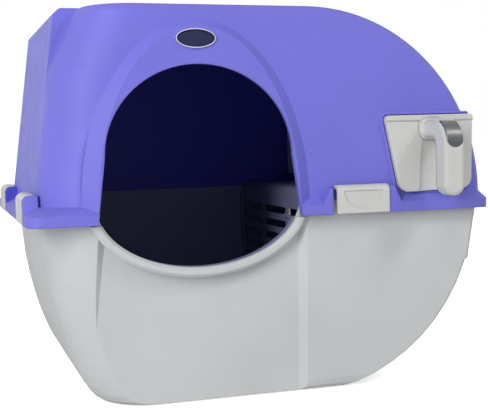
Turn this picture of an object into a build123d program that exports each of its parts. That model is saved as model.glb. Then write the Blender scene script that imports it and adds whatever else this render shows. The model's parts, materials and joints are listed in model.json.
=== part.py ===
from build123d import *
from math import atan2, cos, degrees, pi, radians, sin, sqrt
import os

# Roll-to-clean litter box: a cover latched on a base, with a filter grille and a pull-out waste tray.
# Millimetres. X runs to the right, Y to the back and Z up.
# The origin is the middle of the flat underside.

# Casing
wall = 3.0
box_height = 472.0
rim_height = 236.0
half_depth = 222.0
cover_draft = 7.0
base_draft = 8.0
edge_rounding = 12.0
right_edge_chamfer = 7.0
chamfer_thinning = 0.6

# Base
floor_half_length = 148.0
base_left_reach = 67.0
base_left_fullness = 1.66
base_right_reach = 185.0
base_right_lean = 13.0
base_right_turn = 152.0
base_right_step = 3.0
base_levels = 10
base_corner = 65.0
rim_band = 17.0
rim_thickness = 4.0

# Cover
cover_left_step = 9.0
cover_right_step = 2.0
cover_left_lean = 31.0
roll_radius = 230.0
cover_front_corner = 68.0
cover_back_corner = 75.0
hood_shoulder = 23.0
hood_shoulder_start = box_height - 76.0
cover_chamfer = 7.5

# Flange round the mouth of the cover
flange_reach = 13.0
flange_left_reach = 15.0
flange_right_reach = 7.0
flange_drop = 17.0
flange_band = 12.0
flange_slope_top = rim_height + 4.0
flange_skin = 2.0
flange_corner = 17.0
rim_play = 0.5

# Doorway
door_centre = -37.0
door_half_width = 113.0
door_foot_half_width = 125.0
door_arch_start = rim_height + 59.0
door_arch_top = box_height - 71.0
door_foot = rim_height - 31.0
door_edge = 3.5
sill_centre_height = rim_height + 6.0
sill_half_width = 124.0
sill_drop = 78.0
lip_width = 12.0
lip_front = 228.0
lip_depth = 20.0
lip_chamfer = 3.5
lip_gap = 1.5
surround_half_width = 136.0
surround_top = box_height - 18.0
surround_side_flank = 15.0
surround_top_flank = 9.0
surround_proud = 10.0
surround_skin = 3.0

# Sunk panel below the doorway
panel_left_top = -160.0
panel_left_foot = -186.0
panel_right = 96.0
panel_top = rim_height - 30.0
panel_sink = 7.0
panel_flank = 10.0

# Badge
badge_x = -40.0
badge_height = box_height - 42.0
badge_length = 49.0
badge_width = 24.0
badge_rim = 2.6
badge_proud = 3.0
badge_dome_rise = 1.6
badge_gap = 0.05

# Latches and their housings
latch_width = 69.0
latch_foot = rim_height - 16.5
latch_top = rim_height + 18.0
latch_thickness = 3.6
latch_bend = 9.0
latch_proud = 1.5
latch_side_play = 0.6
latch_far_side_play = 5.0
latch_lip_drop = 5.5
latch_lip_thickness = 2.5
keeper_radius = 1.2
keeper_height = rim_height + 14.0
keeper_length = 60.0
keeper_gap = 0.3
pivot_height = rim_height - 12.0
pivot_depth = 8.5
pivot_radius = 2.0
pivot_play = 0.08
pivot_length = 54.0
knuckle_radius = 3.5
lug_spread = 22.0
lug_width = 6.0
lug_gap = 0.4
thumb_width = 51.0
thumb_height = 22.0
thumb_top = rim_height + 11.0
thumb_sink = 1.2
housing_top_half_width = 42.0
housing_foot_half_width = 52.0
housing_top = rim_height + 17.0
housing_bend = 8.0
front_latch_x = 164.5
left_latch_y = 136.0
front_latch_depth = 14.5
left_latch_depth = 16.5

# Filter grille
grille_x = 150.0
grille_thickness = 3.0
grille_top = rim_height + 8.0
grille_bend = 9.0
grille_play = 0.6
grille_seat_gap = 0.3
grille_shelf_reach = 75.0
slot_top = rim_height - 24.0
slot_pitch = 20.0
slot_height = 10.5
slot_length = 96.0
slot_web = 14.0
slot_columns = 4
slot_rows = 9
grille_boss_length = 16.0
grille_boss_height = 7.0
grille_boss_proud = 2.5
guide_rib = 7.0
guide_rib_thickness = 2.5
guide_rib_top = rim_height - 11.0

# Waste tray
tray_wall = 2.5
tray_left = 225.0
tray_right_clearance = 5.0
tray_back = 205.0
tray_floor = rim_height + 12.0
tray_top = rim_height + 89.0
tray_play = 1.5
tray_rounding = 8.0
tray_seat_gap = 0.3
shelf_thickness = 3.0
shelf_left_margin = 8.0
shelf_rail = 8.0

# Tray front
front_top_left = (199.0, rim_height + 101.0)
front_top_right = (320.5, rim_height + 102.0)
front_bottom_right = (317.0, rim_height + 8.5)
front_bottom_left = (218.0, rim_height + 5.5)
front_top_rounding = 4.0
front_bottom_rounding = 14.0
front_thickness = 8.0
front_ledge = 7.0
front_ledge_proud = 2.0
front_edge_chamfer = 1.2
collar_margin = 4.0
collar_gap = 1.5
collar_proud = 2.0
collar_back = 26.0
finger_radius = 34.0
finger_sink = 6.0
finger_top_sink = 2.0

# Tray handle
handle_x = 262.0
handle_width = 27.0
handle_reach = 65.0
handle_bar = 24.0
handle_arm = 20.0
handle_top = rim_height + 95.0
handle_tip = rim_height + 3.0
handle_outer_bend = 28.0
handle_inner_bend = 10.0
handle_edge = 3.5
handle_foot_margin = 5.0
handle_foot_corner = 11.0
handle_foot_flare = 7.0
pad_width = 23.0
pad_thickness = 2.5
pad_bottom = handle_top - 34.0
pad_reach = 0.7
screw_radius = 2.0
screw_play = 0.05
screw_spacing = 15.0
screw_head_radius = 4.0
screw_head_height = 2.4
screw_bite = 12.0
screw_slot_width = 0.8

base_left = -floor_half_length - base_left_reach
base_right = floor_half_length + base_right_reach
cover_left = base_left - cover_left_step
cover_right = base_right + cover_right_step
roll_centre_x = cover_right - roll_radius
roll_centre_z = box_height - roll_radius
flange_bottom = rim_height - flange_drop
flange_top = flange_bottom + flange_band
flange_left = cover_left - flange_left_reach
flange_right = cover_right + flange_right_reach
flange_half_depth = half_depth + flange_reach
wide = 2 * box_height
tray_rise = max(tray_top - roll_centre_z, 0)
tray_right = roll_centre_x + sqrt((roll_radius - wall) ** 2 - tray_rise**2) - tray_right_clearance


def outline(left, right, depth, front_round, back_round, right_round, z):
    """A plan outline at height z with rounded corners."""
    face = Pos((left + right) / 2, 0, z) * Rectangle(right - left, 2 * depth)
    corners = face.vertices().sort_by(Axis.X)
    left_corners = ShapeList(corners[:2]).sort_by(Axis.Y)
    right_corners = corners[2:]
    face = fillet(left_corners[0], front_round)
    back = face.vertices().sort_by(Axis.X)[:3].sort_by(Axis.Y)[-1]
    face = fillet(back, back_round)
    if right_round > 0:
        face = fillet(face.vertices().sort_by(Axis.X)[-2:], right_round)
    return face


def swell(share, fullness):
    """How far a curved wall has come in after dropping by this share of its height."""
    return 1 - (1 - min(share, 1.0) ** fullness) ** (1 / fullness)


def upright(sketch, front, back):
    """A sketch drawn in X and Z, extruded from y = front to y = back."""
    return extrude(Plane((0, back, 0), x_dir=(1, 0, 0), z_dir=(0, -1, 0)) * sketch, back - front)


def box_between(x0, x1, y0, y1, z0, z1):
    """A block given by its two limits on each axis."""
    return Pos((x0 + x1) / 2, (y0 + y1) / 2, (z0 + z1) / 2) * Box(x1 - x0, y1 - y0, z1 - z0)


def bar_along_x(radius, length):
    """A round bar that lies along X."""
    return Cylinder(radius, length, rotation=(0, 90, 0))


def bar_along_y(radius, length):
    """A round bar that lies along Y."""
    return Cylinder(radius, length, rotation=(90, 0, 0))


def base_right_end(z):
    """The right end of the base at height z: an arc that the box rolls on, then a slightly leaning wall."""
    if z > base_right_turn:
        return base_right - base_right_lean * (rim_height - z) / (rim_height - base_right_turn)
    run = base_right_reach - base_right_lean - base_right_step
    chord = sqrt(run**2 + base_right_turn**2)
    sag = sqrt(roll_radius**2 - (chord / 2) ** 2)
    centre_x = floor_half_length + run / 2 - sag * base_right_turn / chord
    centre_z = base_right_turn / 2 + sag * run / chord
    return centre_x + sqrt(roll_radius**2 - (z - centre_z) ** 2)


def base_outline(z, inset, right):
    """The plan of the base at height z, with chamfered corners at its right end."""
    band = rim_height - rim_band
    left = base_left + base_left_reach * swell(max(band - z, 0) / band, base_left_fullness)
    turn = max(edge_rounding - z, 0)
    lean = base_draft * (rim_height - z) / rim_height
    depth = half_depth - lean - edge_rounding + sqrt(edge_rounding**2 - turn**2)
    corner = base_corner - inset
    face = outline(left + inset, right - inset, depth - inset, corner, corner, 0, z)
    right_corners = face.vertices().sort_by(Axis.X)[-2:]
    return chamfer(right_corners, right_edge_chamfer - inset * chamfer_thinning)


def base_body(inset):
    """The outside of the base, or the space inside it when inset is the wall."""
    turn = base_right_turn
    levels = [turn * (step / base_levels) ** 2 for step in range(base_levels + 1)]
    side = loft([base_outline(z, inset, base_right_end(z)) for z in levels], ruled=True)
    low = base_outline(turn, inset, base_right - base_right_lean)
    middle_height = rim_height - rim_band
    middle = base_outline(middle_height, inset, base_right_end(middle_height))
    high = base_outline(rim_height, inset, base_right)
    shoulder = loft([low, middle, high], ruled=True)
    body = side + shoulder
    if inset > 0:
        body = Pos(0, 0, inset) * body
    return body


def cover_outline(z, inset, hood):
    """The plan of the cover at height z, open past its right end. The hood leans in more at the top."""
    share = (z - rim_height) / (box_height - rim_height)
    left = cover_left + cover_left_lean * share
    if hood and z > hood_shoulder_start:
        left += hood_shoulder * (z - hood_shoulder_start) / (box_height - hood_shoulder_start)
    depth = half_depth - cover_draft * share
    front = cover_front_corner - inset
    back = cover_back_corner - inset
    return outline(left + inset, wide, depth - inset, front, back, 0, z)


def cover_profile(inset):
    """The cover seen from the front, open to the left: the flat top and the quarter-round right end."""
    radius = roll_radius - inset
    top = box_height - inset
    right = cover_right - inset
    lines = Polyline((right, 0), (-wide, 0), (-wide, top), (roll_centre_x, top))
    lines += CenterArc((roll_centre_x, roll_centre_z), radius, 0, 90)
    lines += Line((right, roll_centre_z), (right, 0))
    return make_face(lines)


def cover_stretch(inset, hood):
    """The whole cover form with the box's left end, or with the hood's."""
    foot = rim_height - inset
    levels = [foot, hood_shoulder_start, box_height]
    body = loft([cover_outline(z, inset, hood) for z in levels], ruled=True)
    body = body & upright(cover_profile(inset), -half_depth - wall, half_depth + wall)
    edges = ShapeList()
    for edge in body.edges():
        middle = edge @ 0.5
        box = edge.bounding_box()
        on_front_or_back = abs(middle.Y) > half_depth - cover_front_corner and box.size.Y < half_depth
        on_left_end = middle.X < cover_left + half_depth / 2
        corner_seam = middle.X < 0 and box.size.Z > edge_rounding
        at_foot = box.max.Z < foot + 1
        outline_edge = (on_front_or_back or on_left_end) and not corner_seam and not at_foot
        high_or_round = middle.Z > box_height - edge_rounding or middle.X > roll_centre_x
        if outline_edge and high_or_round:
            edges.append(edge)
    return chamfer(edges, cover_chamfer - inset * chamfer_thinning)


def cover_body(inset):
    """The outside of the cover, or the space inside it: the hood in front of the box's left shoulder."""
    shoulder = -half_depth + cover_front_corner + inset
    hood = cover_stretch(inset, True)
    box = cover_stretch(inset, False)
    front = hood & box_between(-wide, wide, -wide, shoulder, 0, wide)
    back = box & box_between(-wide, wide, shoulder, wide, 0, wide)
    return front + back


def front_of_cover():
    """A plane on the leaning front wall of the cover, with y running up it from the rim."""
    lean = atan2(cover_draft, box_height - rim_height)
    return Plane((0, -half_depth, rim_height), x_dir=(1, 0, 0), z_dir=(0, -cos(lean), sin(lean)))


def front_of_base():
    """A plane on the leaning front wall of the base, with y running up it from the rim."""
    lean = atan2(base_draft, rim_height)
    return Plane((0, -half_depth, rim_height), x_dir=(1, 0, 0), z_dir=(0, -cos(lean), -sin(lean)))


def doorway(grow):
    """The doorway seen from the front, made larger all round by grow."""
    half_width = door_half_width + grow
    foot_half_width = door_foot_half_width + grow
    lines = Polyline(
        (-half_width, door_arch_start),
        (-foot_half_width, door_foot),
        (foot_half_width, door_foot),
        (half_width, door_arch_start),
    )
    rise = door_arch_top - door_arch_start + grow
    lines += EllipticalCenterArc((0, door_arch_start), half_width, rise, start_angle=0, arc_size=180)
    return Pos(door_centre, 0) * make_face(lines)


def sill(grow):
    """The lower half of the doorway in the base, seen from the front."""
    face = Ellipse(sill_half_width + grow, sill_drop + grow)
    return Pos(door_centre, sill_centre_height) * face


def surround_outline(flank_share, inset):
    """The doorway's surround seen on the cover's front plane, drawn in by a share of its flanks."""
    half_width = surround_half_width - flank_share * surround_side_flank - inset
    rise = surround_top - sill_centre_height - flank_share * surround_top_flank - inset
    drop = rim_height - flange_bottom
    lines = Polyline((-half_width, 0), (-half_width, -drop), (half_width, -drop), (half_width, 0))
    lines += EllipticalCenterArc((0, 0), half_width, rise, start_angle=0, arc_size=180)
    lift = sill_centre_height - rim_height
    return Pos(door_centre, lift) * make_face(lines)


def surround_boss(inset):
    """The raised surround with its sloping flanks, or the hollow behind it."""
    plane = front_of_cover()
    back = plane.offset(-wall) * surround_outline(-wall / surround_proud, inset)
    front = plane.offset(surround_proud - inset) * surround_outline(1 - inset / surround_proud, inset)
    return loft([back, front], ruled=True)


def flange_outline(inset, z):
    """The plan of the flange."""
    corner = flange_corner - inset
    depth = flange_half_depth - inset
    return outline(flange_left + inset, flange_right - inset, depth, corner, corner, corner, z)


def rim_outline(grow, z):
    """The plan of the seam where the cover's wall stands on the base's rim."""
    front = cover_front_corner + grow
    back = cover_back_corner + grow
    corner = right_edge_chamfer + grow
    return outline(cover_left - grow, cover_right + grow, half_depth + grow, front, back, corner, z)


def flange_body():
    """The outside of the flange: an upright band with a sloping top that meets the wall."""
    band = extrude(flange_outline(0, flange_bottom), flange_band)
    slope = loft([flange_outline(0, flange_top), rim_outline(-1, flange_slope_top)], ruled=True)
    return band + slope


def flange_hollow():
    """The space under the flange, round the base's rim."""
    top = flange_top - flange_skin
    low = extrude(flange_outline(wall, flange_bottom - wall), top - flange_bottom + wall)
    slope = loft([flange_outline(wall, top), rim_outline(rim_play, rim_height - rim_play)], ruled=True)
    return low + slope


def latch_sites():
    """Where the four latches sit: each name with its place on the cover's wall and its depth."""
    turn_left = Rot(0, 0, -90)
    return {
        "latch_front": (Pos(front_latch_x, -half_depth, 0), front_latch_depth),
        "latch_back": (Pos(front_latch_x, half_depth, 0) * Rot(0, 0, 180), front_latch_depth),
        "latch_left_front": (Pos(cover_left, -left_latch_y, 0) * turn_left, left_latch_depth),
        "latch_left_back": (Pos(cover_left, left_latch_y, 0) * turn_left, left_latch_depth),
    }


def side_prism(sketch, x0, x1):
    """A sketch drawn in Y and Z, extruded from x0 to x1."""
    return extrude(Plane((x0, 0, 0), x_dir=(0, 1, 0), z_dir=(1, 0, 0)) * sketch, x1 - x0)


def latch_housing(depth):
    """The raised housing round a latch, on the cover's wall, before its pocket is cut."""
    face = latch_proud - depth
    low = flange_bottom
    lines = Polyline((wall, low), (face, low), (face, housing_top - housing_bend))
    middle = (face + housing_bend, housing_top - housing_bend)
    lines += CenterArc(middle, housing_bend, 90, 90)
    lines += Polyline((face + housing_bend, housing_top), (wall, housing_top), (wall, low))
    side = side_prism(make_face(lines), -housing_foot_half_width, housing_foot_half_width)
    points = [
        (housing_foot_half_width, low),
        (housing_foot_half_width, flange_top),
        (housing_top_half_width, housing_top),
    ]
    mirrored = [(-x, z) for x, z in reversed(points)]
    front = upright(make_face(Polyline(*points, *mirrored, close=True)), -depth, wall)
    return side & front


def latch_pocket(depth):
    """The slot in the housing and flange that a latch sits in."""
    left = -latch_width / 2 - latch_far_side_play
    right = latch_width / 2 + latch_side_play
    return box_between(left, right, -depth - wall, 0, flange_bottom - wall, latch_top + wall)


def latch_keeper():
    """The bead on the cover's wall that the latch's lip snaps under."""
    return Pos(0, 0, keeper_height) * bar_along_x(keeper_radius, keeper_length)


def latch_lugs(depth, reach):
    """Two lugs on the base that carry a latch's pin."""
    pivot = pivot_depth - depth
    low = pivot_height - knuckle_radius
    high = pivot_height + knuckle_radius
    lugs = Part()
    for side in (-1, 1):
        x = side * lug_spread
        eye = Pos(x, pivot, pivot_height) * bar_along_x(knuckle_radius, lug_width)
        web = box_between(x - lug_width / 2, x + lug_width / 2, pivot, reach, low, high)
        lugs += eye + web
    return lugs - Pos(0, pivot, pivot_height) * bar_along_x(pivot_radius + pivot_play, latch_width)


def latch(depth):
    """A latch: a plate that curves over to the wall, with a thumb recess, a lip and a hinge knuckle."""
    face = -depth
    back = face + latch_thickness
    bend_z = latch_top - latch_bend
    inner = latch_bend - latch_thickness
    tip = -keeper_radius - keeper_gap
    lip_z = latch_top - latch_lip_drop
    lines = Polyline((back, bend_z), (back, latch_foot), (face, latch_foot), (face, bend_z))
    lines += CenterArc((face + latch_bend, bend_z), latch_bend, 90, 90)
    lines += Polyline(
        (face + latch_bend, latch_top),
        (tip, latch_top),
        (tip, lip_z),
        (tip - latch_lip_thickness, lip_z),
        (tip - latch_lip_thickness, latch_top - latch_thickness),
        (face + latch_bend, latch_top - latch_thickness),
    )
    lines += CenterArc((face + latch_bend, bend_z), inner, 90, 90)
    half = latch_width / 2
    plate = side_prism(make_face(lines), -half, half)
    below_top = Pos(0, -half) * Rectangle(latch_width, latch_width)
    recess = Pos(0, thumb_top) * (Ellipse(thumb_width / 2, thumb_height) & below_top)
    plate -= upright(recess, face - wall, face + thumb_sink)
    pivot = pivot_depth - depth
    end = lug_spread - lug_width / 2 - lug_gap
    low = pivot_height - knuckle_radius
    high = pivot_height + knuckle_radius
    plate += Pos(0, pivot, pivot_height) * bar_along_x(knuckle_radius, 2 * end)
    plate += box_between(-end, end, back - thumb_sink, pivot, low, high)
    return plate - latch_pin(depth)


def latch_pin(depth):
    """The pin that a latch turns with in the base's lugs."""
    return Pos(0, pivot_depth - depth, pivot_height) * bar_along_x(pivot_radius, pivot_length)


def panel(grow):
    """The sunk panel below the doorway: what is cut from the front wall."""
    plane = front_of_base()
    top = panel_top - rim_height
    foot = -rim_height - edge_rounding
    slope = panel_flank / panel_sink

    def face(depth):
        step = slope * depth - grow
        points = [
            (panel_left_top + step, top),
            (panel_left_foot + step, foot),
            (panel_right - step, foot),
            (panel_right - step, top),
        ]
        return plane.offset(-depth) * make_face(Polyline(*points, close=True))

    return loft([face(-wall), face(panel_sink + grow)], ruled=True)


def base_shell():
    """The base tub with its rim, sunk panel, rolled sill, grille guides and latch lugs."""
    body = base_body(0) - panel(0)
    space = base_body(wall) - panel(wall)
    rim = extrude(rim_outline(0, rim_height - rim_thickness), rim_thickness)
    shell = body + rim - space
    ring = upright(sill(lip_width) - sill(0), -lip_front, lip_depth - lip_front)
    front_edges = ring.faces().sort_by(Axis.Y)[0].edges()
    ring = chamfer(front_edges, lip_chamfer)
    shell += ring & box_between(-wide, wide, -wide, wide, 0, flange_bottom - lip_gap)
    shell -= upright(sill(0), -half_depth - wide, 0)
    for y_side in (-1, 1):
        for x in guide_rib_places():
            y0 = half_depth - base_draft - wall - guide_rib
            rib = box_between(x, x + guide_rib_thickness, y0, half_depth - wall / 2, wall, guide_rib_top)
            if y_side < 0:
                rib = mirror(rib, Plane.XZ)
            shell += rib & base_body(wall / 2)
    for name, (place, depth) in latch_sites().items():
        reach = wall / 2
        if "left" in name:
            reach += cover_left_step
        shell += place * latch_lugs(depth, reach)
    return shell


def guide_rib_places():
    """The left faces of the two ribs that hold each end of the grille."""
    left = grille_x - grille_seat_gap - guide_rib_thickness
    right = grille_x + grille_thickness + grille_seat_gap
    return [left, right]


def cover_shell():
    """The cover: hooded box, doorway surround, flange, latch housings and the tray's collar."""
    body = cover_body(0) + surround_boss(0) + flange_body() + tray_collar()
    space = cover_body(wall) + surround_hollow() + flange_hollow()
    for place, depth in latch_sites().values():
        body += place * latch_housing(depth)
    door_tube = upright(doorway(door_edge), -half_depth - wide, -half_depth - rim_play)
    body -= space - door_tube
    body -= extrude(rim_outline(rim_play, 0), rim_height)
    body -= box_between(-wide, wide, -wide, wide, 0, flange_bottom)
    body -= upright(doorway(0), -half_depth - wide, -half_depth + cover_front_corner)
    body -= tray_opening()
    for place, depth in latch_sites().values():
        body -= place * latch_pocket(depth)
        body += place * latch_keeper()
    return body


def surround_hollow():
    """The hollow behind the surround's skin."""
    return surround_boss(surround_skin) - box_between(-wide, wide, -wide, wide, 0, rim_height)


def tray_collar():
    """The raised frame round the tray front, which stands out past the rolling end at its top corner."""
    plane = front_of_cover()
    outer = offset(front_outline(), collar_margin)
    face = Pos(0, -rim_height) * outer
    small = Pos(0, -rim_height) * offset(front_outline(), collar_margin - collar_proud)
    block = loft([plane * face, plane.offset(collar_proud) * small], ruled=True)
    block += extrude(plane * face, -collar_back)
    well = Pos(0, -rim_height) * offset(front_outline(), collar_gap)
    block -= extrude(plane * well, collar_proud + 1)
    block = block & upright(cover_profile(-collar_margin), -half_depth - wide, half_depth)
    return block - cover_body(wall) - box_between(-wide, wide, -wide, wide, 0, flange_top)


def front_outline():
    """The tray front seen from the front."""
    corners = [front_top_left, front_top_right, front_bottom_right, front_bottom_left]
    face = make_face(Polyline(*corners, close=True))
    low = face.vertices().sort_by(Axis.Y)[:2]
    face = fillet(low, front_bottom_rounding)
    high = face.vertices().sort_by(Axis.Y)[-2:]
    return fillet(high, front_top_rounding)


def tray_opening():
    """The opening in the cover's front that the tray slides through."""
    low = tray_floor - tray_seat_gap
    face = Pos((tray_left + tray_right) / 2, (low + tray_top + tray_play) / 2) * Rectangle(
        tray_right - tray_left + 2 * tray_play, tray_top + tray_play - low
    )
    return upright(face, -half_depth - wide, -half_depth + collar_back + wall)


def tray_shelf():
    """The shelf inside the cover that carries the tray, with a rail along the tray's left side."""
    top = tray_floor - tray_seat_gap
    left = tray_left - shelf_left_margin
    body = box_between(left, wide, -wide, wide, top - shelf_thickness, top)
    rail_x = tray_left - tray_play - wall
    body += box_between(rail_x, rail_x + wall, -wide, wide, top, top + shelf_rail)
    body = body & cover_body(wall)
    front_gap = -half_depth + collar_back + wall
    return body - box_between(-wide, wide, -wide, front_gap, top, wide)


def waste_tray():
    """The open trough behind the tray front, bored for the handle's screws."""
    trough = box_between(tray_left, tray_right, -half_depth - wall, tray_back, tray_floor, tray_top)
    trough = fillet(trough.edges().filter_by(Axis.Z).sort_by(Axis.Y)[-2:], tray_rounding)
    inside = box_between(
        tray_left + tray_wall,
        tray_right - tray_wall,
        tray_front_inside(),
        tray_back - tray_wall,
        tray_floor + tray_wall,
        tray_top + tray_wall,
    )
    inside = fillet(inside.edges().filter_by(Axis.Z), tray_rounding - tray_wall)
    ahead = extrude(front_of_cover().offset(tray_seat_gap) * Rectangle(wide, wide), wide)
    return trough - inside - ahead - screw_holes()


def tray_front_inside():
    """Where the inside of the trough's front wall lies, behind the leaning tray front."""
    lean = cover_draft * (tray_top - rim_height) / (box_height - rim_height)
    return -half_depth + lean + tray_wall


def finger_channel():
    """The shallow channel down the tray front that leaves room for fingers behind the handle."""
    plane = front_of_cover()
    run = handle_top - front_bottom_left[1]
    tilt = degrees(atan2(finger_sink - finger_top_sink, run))
    axis = plane.offset(front_thickness + finger_radius - finger_top_sink)
    cylinder = Cylinder(finger_radius, 4 * run, rotation=(90, 0, 0))
    return axis * Pos(handle_x, handle_top - rim_height, 0) * Rot(tilt, 0, 0) * cylinder


def tray_front():
    """The plate on the front of the tray, with its finger channel and the ledge along its top."""
    plane = front_of_cover()
    face = Pos(0, -rim_height) * front_outline()
    plate = extrude(plane.offset(tray_seat_gap) * face, front_thickness - tray_seat_gap)
    plate = chamfer(plate.faces().sort_by(Axis.Y)[0].edges(), front_edge_chamfer)
    plate -= finger_channel()
    ledge_low = front_top_left[1] - front_ledge - rim_height
    strip = face & (Pos(0, ledge_low + box_height / 2) * Rectangle(wide, box_height))
    ledge_root = front_thickness - front_edge_chamfer
    ledge = extrude(plane.offset(ledge_root) * strip, front_edge_chamfer + front_ledge_proud)
    ledge = chamfer(ledge.faces().sort_by(Axis.Y)[0].edges(), front_edge_chamfer)
    return plate + ledge - screw_holes()


def handle_profile():
    """The handle seen from its side: an arm out from the tray front and a bar hanging down from it."""
    root = -half_depth - front_thickness + wall
    outer = -half_depth - handle_reach
    inner = outer + handle_bar
    arm_low = handle_top - handle_arm
    lines = Polyline(
        (root, handle_top),
        (outer, handle_top),
        (outer, handle_tip),
        (inner, handle_tip),
        (inner, arm_low),
        (root, arm_low),
        close=True,
    )
    face = make_face(lines)
    bend = [v for v in face.vertices() if abs(v.X - outer) < 1 and abs(v.Y - handle_top) < 1]
    face = fillet(bend, handle_outer_bend)
    crook = [v for v in face.vertices() if abs(v.X - inner) < 1 and abs(v.Y - arm_low) < 1]
    return fillet(crook, handle_inner_bend)


def round_tipped(half_width, tip):
    """An upright strip seen from the front, with a half-round lower end."""
    middle = tip + half_width
    lines = Polyline((-half_width, middle), (-half_width, wide), (half_width, wide), (half_width, middle))
    lines += CenterArc((0, middle), half_width, 180, 180)
    return Pos(handle_x, 0) * make_face(lines)


def handle_bent_bar():
    """The bent bar of the handle with chamfered outer edges, before the grip pad is let in."""
    body = side_prism(handle_profile(), handle_x - handle_width, handle_x + handle_width)
    strip = round_tipped(handle_width / 2, handle_tip)
    body = body & upright(strip, -half_depth - handle_reach - wall, -half_depth)
    front = body.faces().sort_by(Axis.Y)[0]
    top = body.faces().sort_by(Axis.Z)[-1]
    round_faces = body.faces().filter_by(GeomType.CYLINDER)
    bend = [face for face in round_faces if abs(face.radius - handle_outer_bend) < 1][0]
    outer_edges = front.edges() + bend.edges() + top.edges()
    along = ShapeList(edge for edge in outer_edges if edge.bounding_box().size.X < 1)
    return chamfer(along + front.edges().filter_by(GeomType.CIRCLE), handle_edge)


def pad_space():
    """The skin of the handle's outer bend that the grip pad fills."""
    profile = handle_profile()
    skin = profile - offset(profile, -pad_thickness)
    body = side_prism(skin, handle_x - handle_width, handle_x + handle_width)
    front_of_bend = -half_depth - handle_reach + handle_outer_bend * pad_reach
    return body & upright(round_tipped(pad_width / 2, pad_bottom), -half_depth - wide, front_of_bend)


def handle_pad():
    """The grip pad let into the handle's outer bend."""
    return handle_bent_bar() & pad_space()


def tray_handle():
    """The handle with its flared foot, bored for the screws from behind."""
    plane = front_of_cover()
    centre = Pos(handle_x, handle_top - handle_arm / 2 - rim_height)
    foot_width = handle_width + 2 * handle_foot_margin
    foot_height = handle_arm + 2 * handle_foot_margin
    foot_face = centre * RectangleRounded(foot_width, foot_height, handle_foot_corner)
    foot = extrude(plane.offset(front_thickness - finger_sink) * foot_face, finger_sink)
    slope = degrees(atan2(handle_foot_margin, handle_foot_flare))
    foot += extrude(plane.offset(front_thickness) * foot_face, handle_foot_flare, taper=slope)
    body = handle_bent_bar() + foot - tray_front()
    body -= box_between(-wide, wide, -half_depth - front_thickness + wall, wide, 0, wide)
    solids = body.solids().sort_by(SortBy.VOLUME)
    return solids[-1] - pad_space() - handle_screws()


def screw_axes():
    """The starting points of the two screws, behind the tray's front wall."""
    height = handle_top - handle_arm / 2
    start = tray_front_inside()
    return [(handle_x + side * screw_spacing / 2, start, height) for side in (-1, 1)]


def handle_screws():
    """Two screws from inside the tray, through its front wall and the tray front, into the handle."""
    screws = Part()
    for place in screw_axes():
        length = place[1] + half_depth + front_thickness + screw_bite
        shank = Pos(0, -length / 2, 0) * bar_along_y(screw_radius, length)
        head = Pos(0, screw_head_height / 2, 0) * bar_along_y(screw_head_radius, screw_head_height)
        drive = Pos(0, screw_head_height, 0) * Box(screw_head_radius, screw_head_height, screw_slot_width)
        screws += Pos(*place) * (shank + head - drive)
    return screws


def screw_holes():
    """The clearance holes for the screws, through the tray's front wall and the tray front."""
    holes = Part()
    for place in screw_axes():
        length = 2 * (place[1] + half_depth + front_thickness)
        holes += Pos(*place) * bar_along_y(screw_radius + screw_play, length)
    return holes


def grille_profile():
    """The grille seen from the front: a wall that bends over at its top into a shelf."""
    left = grille_x
    bend_z = grille_top - grille_bend
    middle = (left + grille_bend, bend_z)
    inner = grille_bend - grille_thickness
    end = left + grille_shelf_reach
    lines = Polyline(
        (left, bend_z),
        (left, -wall),
        (left + grille_thickness, -wall),
        (left + grille_thickness, bend_z),
    )
    lines += CenterArc(middle, inner, 90, 90)
    lines += Polyline(
        (left + grille_bend, grille_top - grille_thickness),
        (end, grille_top - grille_thickness),
        (end, grille_top),
        (left + grille_bend, grille_top),
    )
    lines += CenterArc(middle, grille_bend, 90, 90)
    return make_face(lines)


def filter_grille():
    """The slotted wall between the litter room and the fines chamber, with its shelf."""
    half = half_depth - wall - grille_play
    body = upright(grille_profile(), -half, half)
    room = Pos(0, 0, grille_seat_gap) * base_body(wall + grille_play)
    room += box_between(-wide, wide, -half, half, rim_height, wide)
    body = body & room
    pitch = slot_length + slot_web
    for row in range(slot_rows):
        high = slot_top - row * slot_pitch
        for column in range(slot_columns):
            y = (column - (slot_columns - 1) / 2) * pitch
            slot = box_between(-wall, 2 * wall, -slot_length / 2, slot_length / 2, high - slot_height, high)
            body -= Pos(grille_x, y, 0) * slot
    boss = Plane((grille_x, 0, slot_top - slot_height), x_dir=(0, 1, 0), z_dir=(-1, 0, 0)) * Ellipse(
        grille_boss_length / 2, grille_boss_height / 2
    )
    return body + extrude(boss, grille_boss_proud)


def badge_oval(inset, rise):
    """The badge's outline, drawn in by inset, at a height above the surround's flat part."""
    plane = front_of_cover().offset(surround_proud + rise)
    oval = Ellipse(badge_length / 2 - inset, badge_width / 2 - inset)
    return plane * (Pos(badge_x, badge_height - rim_height) * oval)


def badge_bezel():
    """The oval ring of the badge, proud of the surround."""
    edge = badge_rim / 3
    ring = loft([badge_oval(0, 0), badge_oval(edge, badge_proud)], ruled=True)
    return ring - loft([badge_oval(badge_rim, 0), badge_oval(badge_rim - edge, badge_proud)], ruled=True)


def badge_dome():
    """The plain, slightly raised face inside the bezel."""
    inset = badge_rim + badge_gap
    return loft([badge_oval(inset, 0), badge_oval(inset + badge_dome_rise, badge_dome_rise)], ruled=True)


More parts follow.
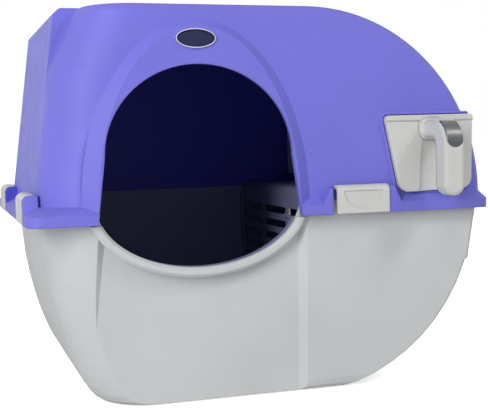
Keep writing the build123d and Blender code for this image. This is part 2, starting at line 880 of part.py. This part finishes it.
if __name__ == "__main__":
    os.makedirs("parts", exist_ok=True)
    pieces = {
        "base_shell": base_shell(),
        "filter_grille": filter_grille(),
        "cover_shell": cover_shell(),
        "tray_shelf": tray_shelf(),
        "waste_tray": waste_tray(),
        "tray_front": tray_front(),
        "tray_handle": tray_handle(),
        "tray_grip_pad": handle_pad(),
        "handle_screws": handle_screws(),
        "badge_bezel": badge_bezel(),
        "badge_dome": badge_dome(),
    }
    for site, (place, depth) in latch_sites().items():
        pieces[site] = place * latch(depth)
        pieces[site.replace("latch", "latch_pin")] = place * latch_pin(depth)
    for node, shape in pieces.items():
        export_step(shape, f"parts/{node}.step")
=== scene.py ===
import json
from math import cos, radians, sin

import bpy
from mathutils import Matrix, Vector

# Self-cleaning litter box: materials, floor, light and camera round the CAD frame. Metres, +Z up.

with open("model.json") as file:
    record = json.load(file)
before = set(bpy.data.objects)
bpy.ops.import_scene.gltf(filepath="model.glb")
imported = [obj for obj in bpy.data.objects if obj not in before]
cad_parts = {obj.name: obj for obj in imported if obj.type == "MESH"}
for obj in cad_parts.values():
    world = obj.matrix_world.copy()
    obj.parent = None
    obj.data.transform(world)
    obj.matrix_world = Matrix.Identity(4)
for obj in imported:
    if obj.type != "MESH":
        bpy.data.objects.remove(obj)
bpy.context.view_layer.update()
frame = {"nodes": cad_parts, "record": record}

# Camera, fitted to the photograph
camera_place = Vector((-0.3362, -1.3426, 0.3130))
camera_yaw = radians(17.42)
camera_pitch = radians(3.82)
camera_roll = radians(-1.37)
focal_pixels = 990.3
image_width_pixels = 488
sensor_width = 36.0
farthest_seen = 100

# Plastics, as linear colours: each surface wanders between its colour and its shade
cover_colour = (0.158, 0.155, 0.590)
cover_shade = (0.150, 0.147, 0.555)
base_colour = (0.500, 0.515, 0.520)
base_shade = (0.470, 0.485, 0.490)
trim_colour = (0.540, 0.545, 0.525)
trim_shade = (0.505, 0.510, 0.490)
grip_colour = (0.060, 0.065, 0.072)
grip_shade = (0.045, 0.050, 0.056)
badge_colour = (0.020, 0.024, 0.070)
badge_shade = (0.012, 0.014, 0.045)

# Metals
plated_colour = (0.80, 0.80, 0.82)
steel_colour = (0.60, 0.60, 0.62)

# Painted shade: the insides of the two shells are painted darker than their outsides, for the shade
# inside the closed box, and the base's inside is also painted bluish for the light the violet cover
# throws into it. A face is an inside one when it looks towards a point on the shell's middle line, and
# lies nearer to the middle than the front and back skins do. Each inside has its painted shade colour and
# the height of that point.
cover_inside_painted_shade = ((0.062, 0.062, 0.460), 0.20)
base_inside_painted_shade = ((0.195, 0.200, 0.330), 0.45)
middle_x = 0.05
skin_depth = 0.2195

# Noise sizes, in lumps per metre, and their detail
colour_cloud = (9.0, 3.0)
gloss_patch = (45.0, 4.0)
fine_grain = (1400.0, 2.0)
metal_patch = (300.0, 3.0)
noise_low = 0.35
noise_high = 0.65

# Depth of the grain, and how finely the softened edges are sampled
plastic_grain_depth = 0.0002
metal_grain_depth = 0.0001
metal_grain = 0.05
edge_samples = 8

# How the plastics mirror, and how far the roughness wanders to the glossy and to the dull side
plastic_ior = 1.49
plastic_shine = 0.18
plastic_glossier = 0.04
plastic_duller = 0.05
metal_duller = 0.08

# Colour sockets of a mix node, which has several sockets of one name
mix_ends = (6, 7)
mix_result = 2

# Floor and surroundings
white = (1, 1, 1, 1)
floor_side = 30
floor_top = -0.0004
floor_grey = (0.80, 0.80, 0.80, 1)
floor_roughness = 0.8
floor_glow = 0.66
world_light = 0.43
world_seen = 1.0


def shader(name):
    """A new material with its nodes, its links and its principled shader."""
    material = bpy.data.materials.new(name)
    material.use_nodes = True
    tree = material.node_tree
    return material, tree.nodes, tree.links, tree.nodes["Principled BSDF"]


def noise(nodes, links, size):
    """A noise texture in the object's own space."""
    place = nodes.new("ShaderNodeTexCoord")
    texture = nodes.new("ShaderNodeTexNoise")
    texture.inputs["Scale"].default_value, texture.inputs["Detail"].default_value = size
    links.new(place.outputs["Object"], texture.inputs["Vector"])
    return texture.outputs["Fac"]


def spread(nodes, links, source, low, high):
    """A value that runs from low to high over the middle of a noise texture."""
    band = nodes.new("ShaderNodeMapRange")
    band.inputs["From Min"].default_value = noise_low
    band.inputs["From Max"].default_value = noise_high
    band.inputs["To Min"].default_value = low
    band.inputs["To Max"].default_value = high
    links.new(source, band.inputs["Value"])
    return band.outputs["Result"]


def combined(nodes, links, operation, *operands, kind="ShaderNodeMath"):
    """A maths node; each operand is a plain value or the output of another node."""
    maths = nodes.new(kind)
    maths.operation = operation
    for socket, operand in zip(maths.inputs, operands):
        if isinstance(operand, bpy.types.NodeSocket):
            links.new(operand, socket)
        else:
            socket.default_value = operand
    return maths.outputs


def painted_shade_faces(nodes, links, height):
    """Mask for the painted shade: one on the inside faces of a shell, and zero on the outside."""
    place = nodes.new("ShaderNodeTexCoord")
    spot = place.outputs["Object"]
    vector_maths = "ShaderNodeVectorMath"
    centre = (middle_x, 0, height)
    offset = combined(nodes, links, "SUBTRACT", spot, centre, kind=vector_maths)["Vector"]
    normal = place.outputs["Normal"]
    facing = combined(nodes, links, "DOT_PRODUCT", offset, normal, kind=vector_maths)["Value"]
    inward = combined(nodes, links, "LESS_THAN", facing, 0)["Value"]
    axes = nodes.new("ShaderNodeSeparateXYZ")
    links.new(spot, axes.inputs["Vector"])
    depth = combined(nodes, links, "ABSOLUTE", axes.outputs["Y"])["Value"]
    behind = combined(nodes, links, "LESS_THAN", depth, skin_depth)["Value"]
    return combined(nodes, links, "MULTIPLY", inward, behind)["Value"]


def mixed(nodes, links, share, low, high):
    """A colour between two, by share; each end is a colour or another node's colour."""
    mix = nodes.new("ShaderNodeMix")
    mix.data_type = "RGBA"
    for socket, end in zip(mix_ends, (low, high)):
        if isinstance(end, tuple):
            mix.inputs[socket].default_value = (*end, 1)
        else:
            links.new(end, mix.inputs[socket])
    links.new(share, mix.inputs[0])
    return mix.outputs[mix_result]


def grained(nodes, links, texture, strength, depth):
    """A bump node whose height is a noise texture."""
    bump = nodes.new("ShaderNodeBump")
    bump.inputs["Strength"].default_value = strength
    bump.inputs["Distance"].default_value = depth
    links.new(texture, bump.inputs["Height"])
    return bump


def moulded_plastic(name, colour, shade, rough, grain, edge, inside_painted_shade=None, shine=plastic_shine):
    """Moulded plastic: a fine grain, slightly uneven colour and gloss, and softened edges; inside faces
    may get a painted shade colour.
    """
    material, nodes, links, surface = shader(name)
    share = spread(nodes, links, noise(nodes, links, colour_cloud), 0.0, 1.0)
    tint = mixed(nodes, links, share, colour, shade)
    # Painted shade: a shell's inside faces take a darker painted colour in place of the shade inside the
    # box
    if inside_painted_shade:
        painted_shade_colour, height = inside_painted_shade
        tint = mixed(nodes, links, painted_shade_faces(nodes, links, height), tint, painted_shade_colour)
    links.new(tint, surface.inputs["Base Color"])
    patch = noise(nodes, links, gloss_patch)
    gloss = spread(nodes, links, patch, rough - plastic_glossier, rough + plastic_duller)
    links.new(gloss, surface.inputs["Roughness"])
    soft_edge = nodes.new("ShaderNodeBevel")
    soft_edge.samples = edge_samples
    soft_edge.inputs["Radius"].default_value = edge
    bump = grained(nodes, links, noise(nodes, links, fine_grain), grain, plastic_grain_depth)
    links.new(soft_edge.outputs["Normal"], bump.inputs["Normal"])
    links.new(bump.outputs["Normal"], surface.inputs["Normal"])
    surface.inputs["IOR"].default_value = plastic_ior
    surface.inputs["Specular IOR Level"].default_value = shine
    return material


def polished_metal(name, colour, rough):
    """Bright metal with faint unevenness."""
    material, nodes, links, surface = shader(name)
    surface.inputs["Base Color"].default_value = (*colour, 1)
    surface.inputs["Metallic"].default_value = 1.0
    patch = noise(nodes, links, metal_patch)
    gloss = spread(nodes, links, patch, rough, rough + metal_duller)
    links.new(gloss, surface.inputs["Roughness"])
    bump = grained(nodes, links, patch, metal_grain, metal_grain_depth)
    links.new(bump.outputs["Normal"], surface.inputs["Normal"])
    return material


def finishes():
    """Every material by its slot; edge is the radius over which a plastic's edges look softened."""
    plastics = {
        # The cover and the base carry painted shade on their inside faces
        "cover_plastic": dict(colour=cover_colour, shade=cover_shade, inside_painted_shade=cover_inside_painted_shade,
                              rough=0.48, grain=0.25, edge=0.0024),
        "base_plastic": dict(colour=base_colour, shade=base_shade, inside_painted_shade=base_inside_painted_shade,
                             rough=0.48, grain=0.25, edge=0.0016),
        "trim_plastic": dict(colour=trim_colour, shade=trim_shade, rough=0.40, grain=0.15, edge=0.0015),
        "handle_plastic": dict(colour=trim_colour, shade=trim_shade, rough=0.40, grain=0.15, edge=0.0050),
        "grip_plastic": dict(colour=grip_colour, shade=grip_shade, shine=0.9,
                             rough=0.36, grain=0.05, edge=0.0010),
        "badge_face": dict(colour=badge_colour, shade=badge_shade, rough=0.10, grain=0.02, edge=0.0006),
    }
    metals = {
        "badge_metal": dict(colour=plated_colour, rough=0.08),
        "steel": dict(colour=steel_colour, rough=0.25),
    }
    made = {slot: moulded_plastic(slot, **setting) for slot, setting in plastics.items()}
    made.update({slot: polished_metal(slot, **setting) for slot, setting in metals.items()})
    return made


def dress_nodes():
    """Give every CAD node the material of its slot, and the handle its own, with rounder edges."""
    made = finishes()
    slots = {part["node"]: part["material_slot"] for part in frame["record"]["subparts"]}
    slots["tray_handle"] = "handle_plastic"
    for node, piece in frame["nodes"].items():
        piece.data.materials.clear()
        piece.data.materials.append(made[slots[node]])


def lay_floor():
    """A wide pale floor that keeps the box's soft shadow; its glow is seen but lights nothing."""
    bpy.ops.mesh.primitive_plane_add(size=floor_side, location=(0, 0, floor_top))
    floor = bpy.context.object
    floor.name = "floor"
    material, nodes, links, surface = shader("floor_paint")
    surface.inputs["Base Color"].default_value = floor_grey
    surface.inputs["Roughness"].default_value = floor_roughness
    glow = nodes.new("ShaderNodeEmission")
    glow.inputs["Color"].default_value = white
    glow.inputs["Strength"].default_value = floor_glow
    path = nodes.new("ShaderNodeLightPath")
    add = nodes.new("ShaderNodeAddShader")
    mix = nodes.new("ShaderNodeMixShader")
    links.new(surface.outputs["BSDF"], add.inputs[0])
    links.new(glow.outputs["Emission"], add.inputs[1])
    links.new(path.outputs["Is Camera Ray"], mix.inputs["Fac"])
    links.new(surface.outputs["BSDF"], mix.inputs[1])
    links.new(add.outputs["Shader"], mix.inputs[2])
    links.new(mix.outputs["Shader"], nodes["Material Output"].inputs["Surface"])
    floor.data.materials.append(material)


def light_world():
    """Even white surroundings: plain white where they are seen or mirrored, softer as light."""
    world = bpy.data.worlds.new("studio")
    bpy.context.scene.world = world
    world.use_nodes = True
    nodes = world.node_tree.nodes
    links = world.node_tree.links
    soft = nodes["Background"]
    plain = nodes.new("ShaderNodeBackground")
    for background, strength in ((soft, world_light), (plain, world_seen)):
        background.inputs["Color"].default_value = white
        background.inputs["Strength"].default_value = strength
    path = nodes.new("ShaderNodeLightPath")
    seen = path.outputs["Is Camera Ray"]
    for ray in ("Is Glossy Ray", "Is Transmission Ray"):
        seen = combined(nodes, links, "MAXIMUM", seen, path.outputs[ray])["Value"]
    mix = nodes.new("ShaderNodeMixShader")
    links.new(seen, mix.inputs["Fac"])
    links.new(soft.outputs["Background"], mix.inputs[1])
    links.new(plain.outputs["Background"], mix.inputs[2])
    links.new(mix.outputs["Shader"], nodes["World Output"].inputs["Surface"])


def add_lamp(name, place, aim, sides, watts):
    """A rectangular soft lamp at a place, aimed at a point."""
    data = bpy.data.lights.new(name, "AREA")
    data.shape = "RECTANGLE"
    data.size, data.size_y = sides
    data.energy = watts
    lamp = bpy.data.objects.new(name, data)
    bpy.context.scene.collection.objects.link(lamp)
    lamp.location = place
    lamp.rotation_euler = (Vector(aim) - Vector(place)).to_track_quat("-Z", "Y").to_euler()


def add_lamps():
    """A weak key lamp, a tall side lamp on the left corner, one for the grip pad and one behind."""
    add_lamp("key_lamp", place=(-0.7, -2.1, 2.4), aim=(0.0, 0.0, 0.25), sides=(0.9, 0.9), watts=7)
    add_lamp("side_lamp", place=(-1.62, -1.60, 0.95), aim=(-0.2, 0.0, 0.2), sides=(0.3, 1.3), watts=33)
    add_lamp("top_lamp", place=(1.0, -1.1, 1.35), aim=(0.26, -0.28, 0.3), sides=(0.3, 0.3), watts=7)
    add_lamp("back_lamp", place=(1.2, 2.4, 1.7), aim=(0.0, 0.0, 0.25), sides=(1.4, 1.4), watts=30)


def set_camera():
    """The photograph's camera."""
    level_forward = Vector((sin(camera_yaw), cos(camera_yaw), 0))
    level_right = Vector((cos(camera_yaw), -sin(camera_yaw), 0))
    forward = cos(camera_pitch) * level_forward - Vector((0, 0, sin(camera_pitch)))
    level_up = level_right.cross(forward)
    right = cos(camera_roll) * level_right + sin(camera_roll) * level_up
    up = -sin(camera_roll) * level_right + cos(camera_roll) * level_up
    data = bpy.data.cameras.new("camera")
    data.sensor_fit = "HORIZONTAL"
    data.sensor_width = sensor_width
    data.lens = focal_pixels / image_width_pixels * sensor_width
    data.clip_end = farthest_seen
    camera = bpy.data.objects.new("camera", data)
    bpy.context.scene.collection.objects.link(camera)
    turn = Matrix((right, up, -forward)).transposed()
    camera.matrix_world = Matrix.Translation(camera_place) @ turn.to_4x4()
    bpy.context.scene.camera = camera


dress_nodes()
lay_floor()
light_world()
add_lamps()
set_camera()
bpy.context.scene.view_settings.view_transform = "Standard"
